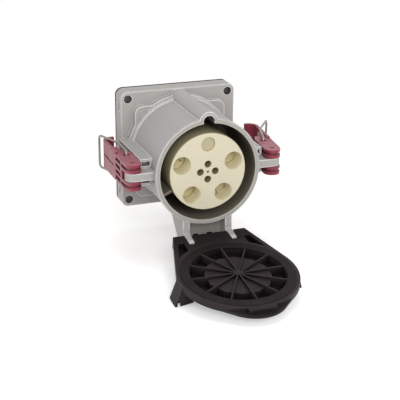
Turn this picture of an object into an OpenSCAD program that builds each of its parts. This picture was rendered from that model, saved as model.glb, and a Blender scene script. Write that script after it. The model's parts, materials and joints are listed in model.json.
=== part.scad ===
// Heavy-duty panel socket outlet with a hinged lid and two draw latches.
// Frame: X to the right, Y back into the panel, Z up.
// The origin is the centre of the flange's back face, and the socket faces -Y.
// A depth is a distance in front of that back face, so depth d lies at y = -d.

/* [Flange] */
// Side of the square flange
flange_w = 137; // [132:1:146]
// Thickness of the flange
flange_t = 18.7; // [17:0.1:20]
// Corner radius of the flange
flange_corner_r = 8; // [4:0.5:9]
// Rounding of the flange's front edges
flange_edge_r = 1.6; // [0.8:0.1:2.4]
// Distance from the flange's edge to the middle of a mounting hole
bolt_edge = 8.5; // [7.5:0.5:9.5]
// Diameter of the mounting holes
bolt_hole_d = 9; // [7:0.5:10]
// Thickness of the sealing gasket behind the flange
gasket_t = 4; // [2:0.5:5]
// Distance that the gasket stays back from the edge of the wiring space
gasket_back_off = 1; // [0:0.5:2]

/* [Raised pad] */
// Side of the raised square pad on the flange
pad_w = 108; // [104:1:110]
// Height of the pad above the flange
pad_t = 7.3; // [6:0.1:9]
// Distance that the pad's centre lies below the flange's centre
pad_drop = 1.5; // [0:0.5:2]
// Corner radius of the pad
pad_corner_r = 9; // [6:0.5:14]
// How far the round boss on the pad stands out from the barrel
pad_ring_w = 3.5; // [2.5:0.5:4.5]
// How far the step ring on the boss stands out from the barrel
step_ring_w = 2; // [1.5:0.5:2.5]
// Height of the step ring above the pad
step_ring_l = 5; // [3:0.5:8]

/* [Barrel] */
// Depth of the mouth in front of the flange's back face
barrel_l = 118; // [116:0.5:121]
// Width of the ring-shaped gap that takes the plug's shroud
shroud_gap = 11.5; // [11:0.1:12]
// Wall thickness of the barrel
barrel_wall = 4; // [3.6:0.1:4.5]
// How far the rim round the mouth stands out from the barrel
mouth_lip = 1; // [0.8:0.1:1.6]
// Length of the rim round the mouth
mouth_rim_l = 5; // [3:0.5:8]
// Outer diameter of the keyway's bulge
key_bulge_d = 21.2; // [19:0.2:22]
// Distance of the keyway's centre outside the bore
key_out = 2; // [1.5:0.1:2.5]
// Diameter of the keyway's groove
keyway_d = 12.6; // [11:0.2:13.6]

/* [Inside of the housing] */
// Depth of the inner ledge's back face
ledge_depth = 28; // [27:0.5:30]
// Thickness of the inner ledge
ledge_t = 8; // [7.5:0.5:10]
// Wall between the square wiring space and a mounting hole, seen from the side
bolt_wall = 6.5; // [6:0.5:8]
// Depth of that square wiring space
cavity_depth = 20; // [17:0.5:21]
// Width of the weight-saving pockets in the flange's back
core_w = 8; // [6:0.5:8]
// Distance from a pocket's end to the nearest mounting hole's middle
core_end = 18; // [15:1:25]
// Depth of those pockets
core_depth = 12; // [8:0.5:13]
// Height of the polarising rib in the bore
rib_t = 3; // [2:0.2:4]
// Angle of the polarising rib, counter-clockwise from the right
rib_angle = 206; // [200:1:212]
// Distance of the polarising rib's front end behind the mouth
rib_recess = 4; // [2:0.5:12]

/* [Contact block] */
// Diameter of the insulating block
block_d = 87; // [86:0.2:88]
// Distance of the block's face behind the mouth
block_recess = 1.8; // [1:0.1:3]
// Thickness of the block's front plate
block_face_t = 21; // [18:0.5:23]
// Wall thickness of the block's skirt
block_wall = 3.2; // [2.6:0.1:3.6]
// Clearance of the block's rear flange in the bore
block_flange_gap = 1.5; // [1:0.1:2]
// Thickness of the block's rear flange and of the carrier's
block_flange_t = 6; // [5:0.5:7]
// Distance from the block's edge to a power pole's middle
pole_edge = 12.5; // [12.2:0.1:12.8]
// Diameter of the power holes
pole_hole_d = 20.3; // [19:0.1:20.6]
// Radius of the circle that the pilot poles lie on
pilot_r = 8.6; // [8.2:0.1:8.8]
// Diameter of the pilot holes
pilot_hole_d = 8; // [7:0.1:8.2]
// Diameter of the small centre hole
centre_hole_d = 2.7; // [2:0.1:3]
// Depth of the small centre hole
centre_hole_l = 8; // [4:0.5:12]
// Diameter of the blanked top position
blank_d = 16; // [14:0.2:17]
// Depth of the blanking plug's face below the block's face
blank_recess = 2; // [1:0.1:3]
// Length of the blanking plug
blank_l = 10; // [8:0.5:14]

/* [Shutter] */
// Thickness of the rotating safety shutter
shutter_t = 3.5; // [3:0.1:4]
// Diameter of the holes in the shutter
shutter_hole_d = 17.8; // [16:0.1:18]
// Width of the grooves in the shutter's face
shutter_groove_w = 1; // [0.6:0.1:1.2]
// Depth of those grooves
shutter_groove_t = 1; // [0.4:0.1:1.2]
// Length of those grooves
shutter_groove_l = 16; // [12:0.5:17]

/* [Contacts] */
// Diameter of a power contact's silvered tip
tip_d = 13.8; // [12:0.1:14]
// Diameter of a power contact's collar
collar_d = 17.6; // [16:0.1:18]
// Thickness of that collar
collar_t = 4.2; // [3.5:0.1:5]
// Diameter of a power contact's stem
stem_d = 10; // [9:0.1:10.6]
// Length of that stem behind the collar
stem_l = 44; // [42:0.5:48]
// Thickness of the plate that retains the contacts
retainer_t = 2.1; // [1.8:0.1:2.6]
// Diameter of the contact springs' wire
spring_wire_d = 1.8; // [1.4:0.1:2]
// Turns in a contact spring
spring_turns = 4; // [3:0.5:5]
// Depth of the spring chamber behind the retainer plate
chamber_l = 20.5; // [19:0.5:23]
// Travel of a spring-loaded power contact
contact_travel = 4; // [3:0.5:4]
// Diameter of a power terminal
terminal_d = 16; // [15:0.2:17]
// Length of a power terminal behind the carrier
terminal_out = 13; // [11:0.5:14]
// Diameter of a power terminal's wire hole
terminal_wire_d = 6.5; // [5:0.1:7]
// Outer diameter of a pilot contact
pilot_pin_d = 6; // [5.4:0.1:6.4]
// Bore of a pilot contact
pilot_bore_d = 3.2; // [2.6:0.1:3.4]
// Length of a pilot contact behind the carrier
pilot_out = 8; // [6:0.5:10]

/* [Screws] */
// Thread diameter of the screws that hold the block
block_screw_d = 5; // [4:0.5:5]
// Head diameter of those screws
block_screw_head_d = 8.4; // [8:0.1:9]
// Thread diameter of the terminal screws
terminal_screw_d = 5; // [4:0.5:5]
// Thread diameter of the pilot terminals' screws
pilot_screw_d = 2.5; // [2:0.1:2.8]

/* [Latch brackets] */
// How far a bracket stands out from the barrel
bracket_out = 12; // [11:0.1:12.2]
// Height of a bracket
bracket_h = 30; // [29:0.5:32]
// Distance of a bracket's front end behind the mouth
bracket_back = 21; // [20:0.5:25]
// Depth of the pockets in a bracket's front
bracket_pocket_l = 9; // [6:0.5:14]
// Thickness of the bracket's top and bottom shelves
bracket_shelf_t = 3; // [2:0.2:4]
// Half height where a bracket's inner ribs end
bracket_rib_z = 7; // [6.4:0.1:8]
// Distance of a latch pivot outside its bracket
pivot_out = 10; // [9.8:0.1:10.5]
// Distance of a latch pivot behind the mouth
pivot_back = 15; // [14:0.5:17]
// Thickness of the lug that carries a latch
lug_t = 8.8; // [8:0.1:9.2]
// End radius of that lug
lug_r = 8.5; // [8:0.1:8.8]
// Diameter of a latch pin
latch_pin_d = 5; // [4:0.1:6]

/* [Latch levers] */
// Height of a lever's body
lever_h = 29; // [28:0.5:30]
// Nose radius of a lever
lever_nose_r = 9.3; // [9:0.1:9.4]
// Distance from the pivot to the far end of the handle
lever_l = 92; // [90:0.5:94]
// Height of the handle plate
handle_h = 31.8; // [30.6:0.2:33]
// Thickness of the handle plate
handle_t = 3.3; // [2.8:0.1:3.8]
// Length of the lever's closed body behind the pivot
lever_body_l = 34; // [33.6:0.2:37]
// Length of the sloping toe behind that body
lever_toe_l = 10; // [9:0.5:11]
// Length of the stiff spine behind that body
lever_spine_l = 22; // [20:0.5:24]
// Radius of the curled end of the handle
curl_r = 11; // [9:0.5:12]
// Height of the slit along the handle
handle_slit_h = 1.8; // [1.2:0.1:2.4]
// Clearance above and below the lug in the lever's fork
fork_gap = 0.6; // [0.4:0.1:0.8]
// Height of the groove round the nose of each fork half
nose_groove_h = 3.6; // [3:0.1:4]
// Depth of that groove
nose_groove_t = 2.6; // [2:0.1:3]
// Thickness of the fork's outer flanges
nose_flange_t = 2.9; // [2.4:0.1:3.4]
// Rows of pockets in the outer face
pocket_rows = 4; // [4:1:4]
// Height of one pocket
pocket_h = 4.2; // [3.6:0.1:4.6]
// Spacing of the pocket rows
pocket_pitch = 6.8; // [6.4:0.1:7]
// Depth of the pockets
pocket_t = 4.2; // [3:0.1:4.6]
// Distance behind the pivot where the pockets begin
pocket_start = 14.6; // [14:0.1:16]
// Length of the pockets
pocket_l = 18.6; // [16:0.1:18.8]
// Width of the upright rib in front of the pockets
pocket_rib = 2.6; // [2:0.1:3]
// Opening angle of the right-hand lever as it stands
right_lever_open = 6; // [0:1:8]

/* [Bails] */
// Wire diameter of a bail
wire_d = 2.5; // [2:0.1:2.8]
// Half height of a bail between wire centres
bail_z = 18.8; // [18.4:0.1:20]
// Sideways distance from the pivot to a bail's hole, towards the barrel
bail_hole_u = 1.7; // [1:0.1:2.4]
// Distance from the pivot back to a bail's hole
bail_hole_w = 27.5; // [27:0.1:28.5]
// Depth of a bail's hole in the lever
bail_hole_l = 5; // [4:0.5:6]
// Length of a bail's straight leg, before its bend
bail_leg_l = 30; // [28:0.5:31]
// Bend radius of the bail's corners
bail_bend_r = 4.5; // [3.5:0.1:5]
// Opening angle of the right-hand bail on its lever as it stands
right_bail_open = 10; // [0:1:14]

/* [Hinge] */
// Distance of the hinge axis in front of the mouth
hinge_front = 10.5; // [10:0.1:11.5]
// Distance of the hinge axis below the mouth's edge
hinge_below = 18.8; // [18.4:0.1:20]
// Diameter of the hinge pin
hinge_pin_d = 5; // [4:0.1:6]
// Inner face of a hinge arm, from the middle
arm_x = 20.8; // [20:0.1:21.5]
// Thickness of a hinge arm
arm_t = 7.8; // [7:0.1:8.4]
// Outer radius of the knuckles on the arms
arm_knuckle_r = 6.3; // [5.6:0.1:6.6]
// Thickness of the web between the arms
web_t = 4.4; // [3.6:0.1:5]
// Distance of the web behind the mouth
web_back = 18; // [16:0.5:20]
// Distance of the web's lower edge below the hinge axis
web_below = 3.8; // [3:0.1:5]
// Length of a hinge arm's root behind the web
arm_root_l = 24; // [20:1:28]
// Width of the lid's stops
stop_w = 6.6; // [5:0.2:8]
// Distance of the stops from the middle
stop_x = 8.3; // [7:0.1:10]
// Length of a stop's sloping back
stop_slope_l = 8; // [6:0.5:9]
// Height of the web's notches for the stops
stop_notch_h = 5.6; // [5:0.1:7]

/* [Lid] */
// Opening angle of the lid as it stands
lid_open = 97.56; // [90:0.1:98]
// Gap between the closed lid and the mouth
lid_gap = 0.5; // [0.3:0.1:1]
// How far the lid's rim stands out past the mouth
lid_lip = 4.5; // [4:0.1:5]
// Thickness of the lid
lid_t = 14; // [13:0.5:15]
// Thickness of the lid's straight rim, where its sloping cover begins
rim_t = 8; // [7.5:0.1:9]
// How far the sloping cover draws in
cover_slope = 9.5; // [8:0.5:10]
// Thickness of the lid's outer skin
lid_skin = 2.6; // [2:0.1:3]
// How far the seal reaches past the mouth's edge
seal_lap = 0.8; // [0.5:0.1:1.2]
// Width of the seal
seal_w = 10; // [9:0.2:11]
// Thickness of the seal
seal_t = 4; // [3:0.2:5]
// Distance of the lid's edge behind the seal's face
lid_edge_drop = 1; // [0.6:0.1:1.6]
// Number of ribs inside the lid
rib_count = 12; // [8:2:16]
// Thickness of those ribs
lid_rib_t = 1.5; // [1.2:0.1:2]
// Width of the groove between the seal and the raised floor inside the lid
floor_gap = 15.3; // [13:0.1:17]
// Distance of that floor below the tops of the ribs
floor_drop = 3.2; // [2.4:0.1:4]
// Width of a hinge ear
ear_t = 13.1; // [11:0.1:14]
// How far the ears reach past the hinge axis
ear_out = 7.7; // [7:0.1:8.5]
// Width of the moulding pocket beside a hinge ear
ear_pocket_w = 6.8; // [5:0.2:8]
// Wall outside that pocket
ear_wall = 0.7; // [0.6:0.1:1.2]
// How far the ears widen on each side towards the rim
ear_flare = 8; // [6:0.5:9]
// How far the thumb lip stands out from the lid's rim
lip_out = 9.8; // [8:0.2:12]
// Radius of the thumb lip's end
lip_r = 37.8; // [34:0.2:42]
// Thickness of the thumb lip
lip_t = 2.5; // [2:0.1:3]
// Half width of the block that stiffens the thumb lip
lip_block_x = 15; // [12:0.5:18]
// How far that block stands out from the lid's rim
lip_block_out = 3.2; // [2:0.2:5]
// Width of the catch wings on the lid's sides
wing_w = 18; // [16:0.5:20]
// How far a wing stands out from the lid's rim
wing_out = 6.6; // [6.2:0.1:7]
// Distance of the bail's seat in a wing outside the seal's face
notch_k = 22.5; // [21.5:0.1:23.5]
// Distance of the bail's seat inside the wing's tip
notch_in = 4.4; // [4:0.1:4.8]
// How far a wing reaches past the bail's seat
wing_over = 2.7; // [2.4:0.1:3.4]
// Thickness of the wings' walls
wing_t = 2.3; // [2:0.1:2.8]
// How far a wing's gussets reach in over the cover
wing_heel = 13.4; // [12:0.2:15]
// Width of a gusset at its tip
wing_tip_w = 6; // [5:0.2:7]
// Width of the notch that takes the bail
wing_notch_w = 3.4; // [3:0.1:4]

/* [Clearances] */
// Gap between separate pieces
gap = 0.3; // [0.2:0.05:0.4]
// Radial clearance of a pin in its bore
pin_gap = 0.06; // [0.03:0.01:0.09]
// Clearance of the block in the housing's inner ledge
ledge_gap = 0.7; // [0.5:0.1:1]

/* [Hidden] */
$fn = 96;

// Overlap that lets joined shapes share a volume
eps = 0.01;
// Extra length of a cutting shape past the face that it cuts
cut = 1;
// Lap of a wire's straight runs over its bends, and how much slimmer the bends are
wire_lap = 0.1;
wire_step = 0.02;
housing_grey = [0.70, 0.69, 0.67];
cream = [0.87, 0.84, 0.73];
latch_red = [0.62, 0.20, 0.26];
lid_black = [0.17, 0.16, 0.16];

// Diameters of the barrel, from the inside to the outside
bore_d = block_d + 2 * shroud_gap;
barrel_d = bore_d + 2 * barrel_wall;
mouth_d = barrel_d + 2 * mouth_lip;
step_ring_d = barrel_d + 2 * step_ring_w;
pad_ring_d = barrel_d + 2 * pad_ring_w;
wall_r = (bore_d + barrel_d) / 4;
key_r = bore_d / 2 + key_out;
ledge_bore_d = block_d + 2 * ledge_gap;
block_flange_d = bore_d - 2 * block_flange_gap;
block_screw_r = (block_d + bore_d) / 4;
pole_r = block_d / 2 - pole_edge;

// Flange, wiring space and gasket
bolt_spacing = flange_w - 2 * bolt_edge;
cavity_w = bolt_spacing - bolt_hole_d - 2 * bolt_wall;
gasket_open_w = cavity_w + 2 * gasket_back_off;
core_l = bolt_spacing - 2 * core_end;

// Depths along the axis, from the front to the back
block_front = barrel_l - block_recess;
block_inner = block_front - block_face_t;
shutter_front = block_inner - gap;
shutter_back = shutter_front - shutter_t;
tip_front = shutter_back - gap;
retainer_front = tip_front - gap;
retainer_back = retainer_front - retainer_t;
collar_front = retainer_back - gap;
collar_back = collar_front - collar_t;
chamber_back = retainer_back - chamber_l;
stem_back = collar_back - stem_l;
ledge_front = ledge_depth + ledge_t;
block_back = ledge_depth - block_flange_t;
carrier_back = block_back - block_flange_t;
terminal_front = stem_back + contact_travel + gap + block_flange_t;
terminal_back = carrier_back - terminal_out;

// Radii inside the block
skirt_r = block_d / 2 - block_wall;
carrier_r = skirt_r - gap;
tower_r = pilot_r + pilot_hole_d / 2 + 1.4;
shutter_r = carrier_r - gap;

// Pole positions, counter-clockwise from the right, seen from the front
pole_step = 72;
blank_angle = 90;
pole_angles = [blank_angle - pole_step, blank_angle + pole_step,
    blank_angle + 2 * pole_step, blank_angle - 2 * pole_step];
shutter_turn = pole_step / 2;
pilot_angles = [0, 90, 180, 270];
screw_angles = [54, 126, 234, 306];

// Hinge axis and the lid's own frame
hinge_depth = barrel_l + hinge_front;
hinge_drop = mouth_d / 2 + hinge_below;
hinge_k = hinge_front - lid_gap;
web_y = -barrel_l + web_back;
web_bottom = hinge_drop + web_below;
arm_root_y = web_y + arm_root_l;
ear_x = arm_x + arm_t + gap + ear_t;
ear_end = hinge_drop + ear_out;

// Lid and seal
lid_r = mouth_d / 2 + lid_lip;
cover_r = lid_r - 1;
seal_out_d = mouth_d + 2 * seal_lap;
seal_in_d = seal_out_d - 2 * seal_w;
floor_d = seal_in_d - 2 * floor_gap;
ear_root_v = -0.62 * lid_r;

// Latch pivots, and the bails from their holes to their seats in the wings
bracket_x = barrel_d / 2 + bracket_out;
bracket_front = barrel_l - bracket_back;
pivot_x = bracket_x + pivot_out;
pivot_depth = barrel_l - pivot_back;
wing_tip_x = lid_r + wing_out;
wing_tip_k = notch_k + wing_over;
notch_x = wing_tip_x - notch_in;
bail_offset = pivot_x - bail_hole_u - notch_x;
bail_reach = barrel_l + lid_gap + notch_k - pivot_depth + bail_hole_w;

// ---------------------------------------------------------------- placing

// Local x to the right, y up and z to the front, starting at depth d
module at_depth(d = 0) {
    translate([0, -d, 0]) rotate([90, 0, 0]) children();
}

module both_sides() {
    children();
    mirror([1, 0, 0]) children();
}

// Puts its children on a circle of radius r at each of the given angles
module at_angles(angles, r) {
    for (a = angles) rotate([0, 0, a]) translate([r, 0, 0]) rotate([0, 0, -a]) children();
}

module four_corners(spacing) {
    for (x = [-1, 1], y = [-1, 1]) translate([x * spacing / 2, y * spacing / 2, 0]) children();
}

// The lid's frame: x along the hinge, y away from it, z out of the closed lid
module lid_frame() {
    translate([0, -hinge_depth, -hinge_drop])
        rotate([90 + lid_open, 0, 0])
            translate([0, hinge_drop, -hinge_k]) children();
}

// A latch's frame: x outwards, y back along the socket, z up, at the pivot
module latch_frame(angle) {
    translate([pivot_x, -pivot_depth, 0]) rotate([0, 0, -angle]) children();
}

// A bail's frame: as the latch's, but at the bail's holes in the lever
module bail_frame(lever_angle, bail_angle) {
    latch_frame(lever_angle)
        translate([-bail_hole_u, bail_hole_w, 0]) rotate([0, 0, -bail_angle]) children();
}

// ---------------------------------------------------------------- outlines

module rounded_square(w, r) {
    square([w, w - 2 * r], center = true);
    square([w - 2 * r, w], center = true);
    four_corners(w - 2 * r) circle(r);
}

// ---------------------------------------------------------------- housing

module flange_slab() {
    straight_t = flange_t - flange_edge_r;
    hull() four_corners(flange_w - 2 * flange_corner_r) {
        cylinder(r = flange_corner_r, h = straight_t, $fn = 32);
        rotate_extrude($fn = 32) translate([flange_corner_r - flange_edge_r, straight_t])
            intersection() {
                circle(flange_edge_r, $fn = 16);
                square(flange_edge_r);
            }
    }
}

module barrel_body() {
    foot = flange_t + pad_t;
    chamfer = 0.8;
    profile = [
        [bore_d / 2 - cut, 0],
        [barrel_d / 2, 0],
        [barrel_d / 2, foot - eps],
        [step_ring_d / 2, foot - eps],
        [step_ring_d / 2, foot + step_ring_l - chamfer],
        [step_ring_d / 2 - chamfer, foot + step_ring_l],
        [barrel_d / 2, foot + step_ring_l + chamfer],
        [barrel_d / 2, barrel_l - mouth_rim_l - chamfer],
        [mouth_d / 2, barrel_l - mouth_rim_l],
        [mouth_d / 2, barrel_l - chamfer],
        [mouth_d / 2 - chamfer, barrel_l],
        [bore_d / 2 - cut, barrel_l]];
    rotate_extrude($fn = 128) polygon(profile);
}

module bracket() {
    // A solid arm with a pocket above and one below its middle rib, open to the front
    pocket_top = bracket_h / 2 - bracket_shelf_t;
    pocket_x = barrel_d / 2 + 0.6;
    cheek_t = 2;
    difference() {
        translate([wall_r, -bracket_front, -bracket_h / 2])
            cube([bracket_x - wall_r, bracket_front - flange_t + eps, bracket_h]);
        for (bottom = [-pocket_top, bracket_rib_z]) translate([pocket_x, -bracket_front - cut, bottom])
            cube([bracket_x - cheek_t - pocket_x, bracket_pocket_l + cut, pocket_top - bracket_rib_z]);
    }
}

module lug() {
    translate([0, -pivot_depth, -lug_t / 2]) linear_extrude(lug_t) {
        translate([wall_r, -lug_r]) square([pivot_x - wall_r, 2 * lug_r]);
        translate([pivot_x, 0]) circle(lug_r);
    }
}

module hinge_arm() {
    // Side view: one long arm from below the barrel to the knuckle, level on top
    r = arm_knuckle_r;
    brow_y = -barrel_l + 0.6;
    sunk = 11;
    translate([arm_x, 0, 0]) rotate([90, 0, 90]) linear_extrude(arm_t) {
        translate([-hinge_depth, -hinge_drop]) circle(r);
        polygon([
            [arm_root_y, -barrel_d / 2 + sunk],
            [arm_root_y, -barrel_d / 2 + 3],
            [web_y, -web_bottom + 2],
            [-hinge_depth + r, -hinge_drop - r],
            [-hinge_depth, -hinge_drop - r],
            [-hinge_depth - r + 0.5, -hinge_drop + r - 1],
            [brow_y, -hinge_drop + r + 3.5],
            [brow_y, -barrel_d / 2 + sunk]]);
    }
}

module hinge_web() {
    // Upright web between the arms, with two notches for the lid's stops
    translate([-arm_x - eps, web_y - web_t / 2, 0]) rotate([90, 0, 0]) translate([0, 0, -web_t])
        linear_extrude(web_t) difference() {
            translate([0, -web_bottom]) square([2 * (arm_x + eps), web_bottom - barrel_d / 2 + 2]);
            translate([arm_x + eps, -web_bottom]) for (s = [-1, 1]) translate([s * stop_x, 0])
                polygon([[-stop_w / 2 - 1.2, -cut], [stop_w / 2 + 1.2, -cut],
                    [stop_w / 2, stop_notch_h], [-stop_w / 2, stop_notch_h]]);
        }
}

module housing_inside() {
    // Bore, ledge and the wiring space behind it
    translate([0, 0, ledge_front]) cylinder(d = bore_d, h = barrel_l - ledge_front + cut, $fn = 128);
    translate([0, 0, -cut]) cylinder(d = ledge_bore_d, h = barrel_l);
    translate([0, 0, -cut]) cylinder(d = bore_d, h = ledge_depth + cut, $fn = 128);
    translate([0, 0, -cut]) linear_extrude(cavity_depth + cut) rounded_square(cavity_w, pad_corner_r);
    translate([0, key_r, ledge_front]) cylinder(d = keyway_d, h = barrel_l - ledge_front + cut);
    // Weight-saving pockets in the flange's back
    core_mid = (flange_w + cavity_w) / 4;
    for (a = [0:90:270]) rotate([0, 0, a])
        translate([core_mid - core_w / 2, -core_l / 2, -cut]) cube([core_w, core_l, core_depth + cut]);
    // Mounting holes and the screw holes in the ledge
    translate([0, 0, -cut]) four_corners(bolt_spacing)
        cylinder(d = bolt_hole_d, h = flange_t + pad_t + 2 * cut);
    translate([0, 0, ledge_depth - cut]) at_angles(screw_angles, block_screw_r)
        cylinder(d = block_screw_d + 2 * pin_gap, h = ledge_t);
}

// Casting recess in a side of the flange, near a corner
module flange_recess() {
    recess_t = 2.4;
    recess_l = 9;
    recess_w = 5.2;
    for (z = [-1, 1] * (bolt_spacing / 2 - 10))
        translate([flange_w / 2 - recess_t, -(flange_t + recess_w) / 2, z - recess_l / 2])
            cube([recess_t + cut, recess_w, recess_l]);
}

module housing() color(housing_grey) {
    difference() {
        union() {
            at_depth() {
                flange_slab();
                translate([0, -pad_drop, 0]) linear_extrude(flange_t + pad_t)
                    rounded_square(pad_w, pad_corner_r);
                cylinder(d = pad_ring_d, h = flange_t + pad_t);
                cylinder(d = barrel_d - 1, h = ledge_front);
                barrel_body();
                translate([0, key_r, 0]) cylinder(d = key_bulge_d, h = barrel_l);
            }
            both_sides() {
                bracket();
                lug();
                hinge_arm();
            }
            hinge_web();
        }
        at_depth() housing_inside();
        both_sides() {
            translate([pivot_x, -pivot_depth, -lug_t]) cylinder(d = latch_pin_d + 2 * pin_gap, h = 2 * lug_t);
            flange_recess();
        }
        translate([-ear_x, -hinge_depth, -hinge_drop]) rotate([0, 90, 0])
            cylinder(d = hinge_pin_d + 2 * pin_gap, h = 2 * ear_x);
    }
    polarising_rib();
}

// Rib along the bore that only lets the matching plug in
module polarising_rib() {
    inner_r = block_d / 2 + 1;
    at_depth(ledge_front - eps) rotate([0, 0, rib_angle])
        translate([inner_r, -rib_t, 0])
            cube([wall_r - inner_r, rib_t, barrel_l - rib_recess - ledge_front]);
}

module panel_gasket() color("black") difference() {
    at_depth(-gasket_t) linear_extrude(gasket_t) difference() {
        rounded_square(flange_w, flange_corner_r);
        rounded_square(gasket_open_w, pad_corner_r);
    }
    at_depth(-gasket_t - cut) four_corners(bolt_spacing)
        cylinder(d = bolt_hole_d + 1, h = gasket_t + 2 * cut);
}

// ---------------------------------------------------------------- insulators

module contact_block() color(cream) at_depth() difference() {
    union() {
        translate([0, 0, block_back]) cylinder(d = block_flange_d, h = block_flange_t);
        translate([0, 0, block_back]) cylinder(d = block_d, h = block_front - block_back - 0.5);
        translate([0, 0, block_front - 0.5]) cylinder(d1 = block_d, d2 = block_d - 1, h = 0.5);
    }
    translate([0, 0, block_back - cut]) cylinder(r = skirt_r, h = block_inner - block_back + cut);
    translate([0, 0, block_inner - eps]) {
        at_angles(pole_angles, pole_r) cylinder(d = pole_hole_d, h = block_face_t + cut);
        at_angles(pilot_angles, pilot_r) cylinder(d = pilot_hole_d, h = block_face_t + cut);
    }
    translate([0, 0, block_front - blank_recess - blank_l]) at_angles([blank_angle], pole_r)
        cylinder(d = blank_d, h = blank_recess + blank_l + cut);
    translate([0, 0, block_front - centre_hole_l]) cylinder(d = centre_hole_d, h = centre_hole_l + cut);
    translate([0, 0, block_back - cut]) at_angles(screw_angles, block_screw_r)
        cylinder(d = block_screw_d + gap, h = block_flange_t + 2 * cut);
}

module blanking_plug() color(cream) at_depth(block_front - blank_recess - blank_l)
    at_angles([blank_angle], pole_r) {
        cylinder(d = blank_d - 2 * pin_gap, h = blank_l - 0.5);
        translate([0, 0, blank_l - 0.5])
            cylinder(d1 = blank_d - 2 * pin_gap, d2 = blank_d - 2 * pin_gap - 0.8, h = 0.5);
    }

module safety_shutter() color(cream) at_depth(shutter_back) difference() {
    cylinder(r = shutter_r, h = shutter_t);
    translate([0, 0, -cut]) cylinder(r = tower_r + pin_gap, h = shutter_t + 2 * cut);
    translate([0, 0, -cut]) at_angles([for (a = pole_angles) a - shutter_turn], pole_r)
        cylinder(d = shutter_hole_d, h = shutter_t + 2 * cut);
    // Grooves along the chords between opposite poles
    for (a = [0, 2]) rotate([0, 0, pole_angles[1] + a * pole_step])
        translate([pole_r, 0, shutter_t - shutter_groove_t]) rotate([0, 0, -18])
            translate([2 - shutter_groove_l / 2, -2.6, 0])
                cube([shutter_groove_l, shutter_groove_w, shutter_groove_t + cut]);
}

module contact_retainer() color([0.75, 0.72, 0.62]) at_depth(retainer_back) difference() {
    cylinder(r = carrier_r, h = retainer_t);
    translate([0, 0, -cut]) cylinder(r = tower_r + pin_gap, h = retainer_t + 2 * cut);
    translate([0, 0, -cut]) at_angles(pole_angles, pole_r)
        cylinder(d = tip_d + 2 * gap, h = retainer_t + 2 * cut);
}

module contact_carrier() color([0.75, 0.72, 0.62]) at_depth() difference() {
    union() {
        translate([0, 0, carrier_back]) cylinder(d = block_flange_d, h = block_flange_t);
        translate([0, 0, carrier_back]) cylinder(r = carrier_r, h = retainer_back - carrier_back);
        translate([0, 0, carrier_back]) cylinder(r = tower_r, h = block_inner - carrier_back);
    }
    at_angles(pole_angles, pole_r) {
        translate([0, 0, chamber_back])
            cylinder(d = collar_d + 2 * gap, h = retainer_back - chamber_back + cut);
        translate([0, 0, carrier_back - cut]) cylinder(d = stem_d + 2 * pin_gap, h = block_front);
        translate([0, 0, carrier_back - cut])
            cylinder(d = terminal_d + 2 * pin_gap, h = terminal_front - carrier_back + cut);
    }
    at_angles(pilot_angles, pilot_r) {
        translate([0, 0, block_inner - 12]) cylinder(d = pilot_hole_d, h = 12 + cut);
        translate([0, 0, carrier_back - cut]) cylinder(d = pilot_pin_d + 2 * pin_gap, h = block_inner);
    }
    translate([0, 0, carrier_back - cut]) at_angles(screw_angles, block_screw_r)
        cylinder(d = block_screw_d + gap, h = block_flange_t + 2 * cut);
}

// ---------------------------------------------------------------- contacts

module power_contact(i) color([0.80, 0.79, 0.76]) at_depth() at_angles([pole_angles[i]], pole_r) {
    translate([0, 0, stem_back]) cylinder(d = stem_d, h = collar_back - stem_back + eps);
    translate([0, 0, collar_back]) cylinder(d = collar_d, h = collar_t);
    translate([0, 0, collar_front - eps]) cylinder(d = tip_d, h = tip_front - collar_front - 0.8);
    translate([0, 0, tip_front - 0.8 - 2 * eps]) cylinder(d1 = tip_d, d2 = tip_d - 2.4, h = 0.8);
}

// One helical wire, swept ring by ring
module coil(r, wire_r, length, turns) {
    steps = 12;
    sides = 6;
    rings = ceil(turns * steps);
    rise = length - 2 * wire_r;
    points = [for (i = [0:rings]) for (j = [0:sides - 1])
        let (a = 360 * turns * i / rings, b = 360 * j / sides, p = r + wire_r * cos(b))
            [p * cos(a), p * sin(a), wire_r + rise * i / rings + wire_r * sin(b)]];
    faces = concat(
        [[for (j = [0:sides - 1]) j]],
        [for (i = [0:rings - 1]) for (j = [0:sides - 1])
            let (here = i * sides, next = here + sides, k = (j + 1) % sides)
                [here + j, next + j, next + k, here + k]],
        [[for (j = [sides - 1:-1:0]) rings * sides + j]]);
    polyhedron(points, faces);
}

module contact_spring(i) color("silver") at_depth(chamber_back) at_angles([pole_angles[i]], pole_r)
    coil((stem_d + collar_d) / 4 + 0.1, spring_wire_d / 2, collar_back - chamber_back, spring_turns);

module power_terminal(i) color("goldenrod") at_depth() at_angles([pole_angles[i]], pole_r)
    rotate([0, 0, pole_angles[i]]) difference() {
        translate([0, 0, terminal_back]) cylinder(d = terminal_d, h = terminal_front - terminal_back);
        translate([0, 0, stem_back - contact_travel - gap])
            cylinder(d = stem_d + 2 * pin_gap, h = terminal_front);
        translate([0, 0, terminal_back - cut]) cylinder(d = terminal_wire_d, h = terminal_out + cut);
        translate([0, 0, terminal_back + terminal_out / 2]) rotate([0, 90, 0])
            cylinder(d = terminal_screw_d + 2 * pin_gap, h = terminal_d);
    }

module pilot_contact(i) color("goldenrod") at_depth() at_angles([pilot_angles[i]], pilot_r)
    rotate([0, 0, pilot_angles[i]]) difference() {
        translate([0, 0, carrier_back - pilot_out])
            cylinder(d = pilot_pin_d, h = block_inner - 12 - carrier_back + pilot_out);
        translate([0, 0, block_inner - 30]) cylinder(d = pilot_bore_d, h = 30);
        translate([0, 0, carrier_back - pilot_out - cut]) cylinder(d = pilot_bore_d, h = pilot_out + cut);
        translate([0, 0, carrier_back - pilot_out / 2]) rotate([0, 90, 0])
            cylinder(d = pilot_screw_d + 2 * pin_gap, h = pilot_pin_d);
    }

// ---------------------------------------------------------------- fasteners

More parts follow.
